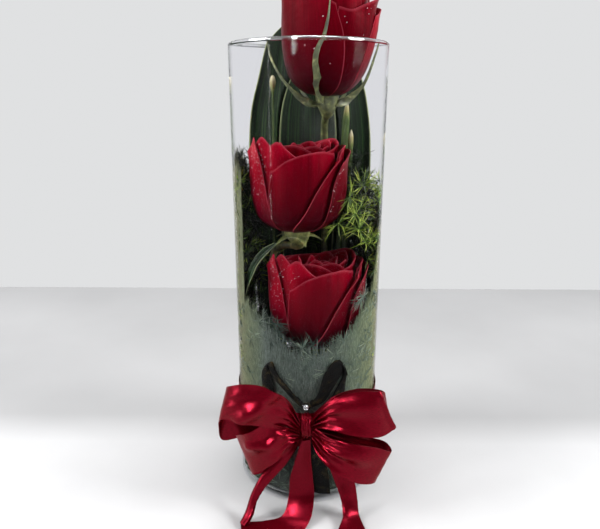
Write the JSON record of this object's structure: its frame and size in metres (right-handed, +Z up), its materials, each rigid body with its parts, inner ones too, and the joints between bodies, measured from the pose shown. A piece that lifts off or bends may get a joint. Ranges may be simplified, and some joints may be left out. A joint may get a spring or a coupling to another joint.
{
  "type": "roses in a vase",
  "caption": "Red roses stacked in a tall clear glass cylinder vase with dark leaves and needle fern, tied with a red satin bow.",
  "frame": {"origin": "centre of the vase's underside", "axes": "+Z up along the vase, the bow faces -Y"},
  "size_m": [0.1128, 0.1521, 0.3362],
  "materials": {
    "clear_glass": "clear, polished, thick-based cylinder",
    "water": "still water",
    "rose_petal": "velvety deep crimson petals",
    "rose_green": "olive green stem, calyx and sepals, satin",
    "dark_leaf": "dark green, glossy, parallel veined",
    "pale_stalk": "pale fibrous cut stalk",
    "fern": "fine bright green needles",
    "red_satin": "woven satin, glossy",
    "dark_net": "open woven net, almost black olive",
    "silver_wire": "bright twisted wire"
  },
  "bodies": {
    "root": {"rose_bottom_bloom": "rose_petal", "rose_bottom_stem": "rose_green", "rose_middle_bloom": "rose_petal", "rose_middle_stem": "rose_green", "rose_top_bloom": "rose_petal", "rose_top_stem": "rose_green", "leaf_left": "dark_leaf", "leaf_right": "dark_leaf", "leaf_back": "dark_leaf", "rose_leaf": "rose_green", "pale_stalk_right": "pale_stalk", "pale_stalk_far_right": "pale_stalk", "pale_stalk_left": "pale_stalk", "fern_left_tall": "fern", "fern_left_front": "fern", "fern_front_left": "fern", "fern_front_right": "fern", "fern_right_front": "fern", "fern_right_tall": "fern", "fern_right_back": "fern", "fern_back": "fern", "vase": "clear_glass", "water": "water", "ribbon_band": "red_satin", "bow_knot": "red_satin", "bow_loop_upper_left": "red_satin", "bow_loop_lower_left": "red_satin", "bow_loop_upper_right": "red_satin", "bow_loop_lower_right": "red_satin", "bow_tail_left": "red_satin", "bow_tail_middle": "red_satin", "bow_tail_right": "red_satin", "net_knot": "dark_net", "net_loop_left": "dark_net", "net_loop_right": "dark_net", "net_tail": "dark_net", "bow_pin": "silver_wire"}
  },
  "joints": []
}
